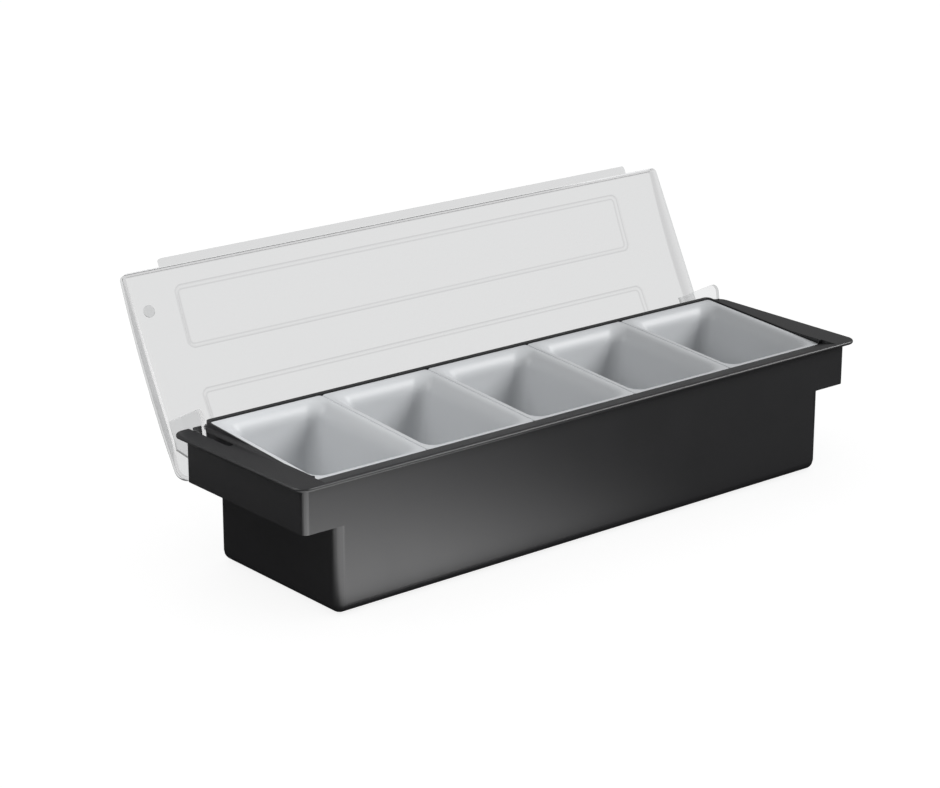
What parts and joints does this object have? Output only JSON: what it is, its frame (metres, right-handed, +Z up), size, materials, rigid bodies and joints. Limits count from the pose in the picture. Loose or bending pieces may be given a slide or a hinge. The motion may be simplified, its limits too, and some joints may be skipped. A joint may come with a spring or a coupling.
{
  "type": "condiment caddy with flip lid",
  "caption": "Long bar-top caddy: black tub with a tilted row of lift-out inserts under a clear domed flip lid that turns on pins inside the tub's end ears.",
  "frame": {"origin": "on the ground, under the middle of the tub", "axes": "+X along the row of inserts to the viewer's right, +Y to the rear where the lid is hinged, +Z up"},
  "size_m": [0.5, 0.2136, 0.191],
  "materials": {
    "black_plastic": "satin",
    "clear_plastic": "clear, polished",
    "white_plastic": "satin",
    "steel": "turned",
    "rubber": "matt"
  },
  "bodies": {
    "caddy": {"base": "black_plastic", "hinge_pin_left": "steel", "hinge_pin_right": "steel", "foot_front_left": "rubber", "foot_front_right": "rubber", "foot_rear_left": "rubber", "foot_rear_right": "rubber"},
    "lid": {"lid": "clear_plastic"},
    "insert_1": {"insert_1": "white_plastic"},
    "insert_2": {"insert_2": "white_plastic"},
    "insert_3": {"insert_3": "white_plastic"},
    "insert_4": {"insert_4": "white_plastic"},
    "insert_5": {"insert_5": "white_plastic"}
  },
  "joints": [
    {"name": "lid_hinge", "type": "hinge", "parent": "caddy", "child": "lid", "pos_m": [0, 0.0591, 0.0768], "axis": [-1, 0, 0], "range_deg": [-117.5, 0]},
    {"name": "insert_1_lift", "type": "slide", "parent": "caddy", "child": "insert_1", "axis": [0, -0.0698, 0.9976], "range_m": [0, 0.07]},
    {"name": "insert_2_lift", "type": "slide", "parent": "caddy", "child": "insert_2", "axis": [0, -0.0698, 0.9976], "range_m": [0, 0.07]},
    {"name": "insert_3_lift", "type": "slide", "parent": "caddy", "child": "insert_3", "axis": [0, -0.0698, 0.9976], "range_m": [0, 0.07]},
    {"name": "insert_4_lift", "type": "slide", "parent": "caddy", "child": "insert_4", "axis": [0, -0.0698, 0.9976], "range_m": [0, 0.07]},
    {"name": "insert_5_lift", "type": "slide", "parent": "caddy", "child": "insert_5", "axis": [0, -0.0698, 0.9976], "range_m": [0, 0.07]}
  ]
}
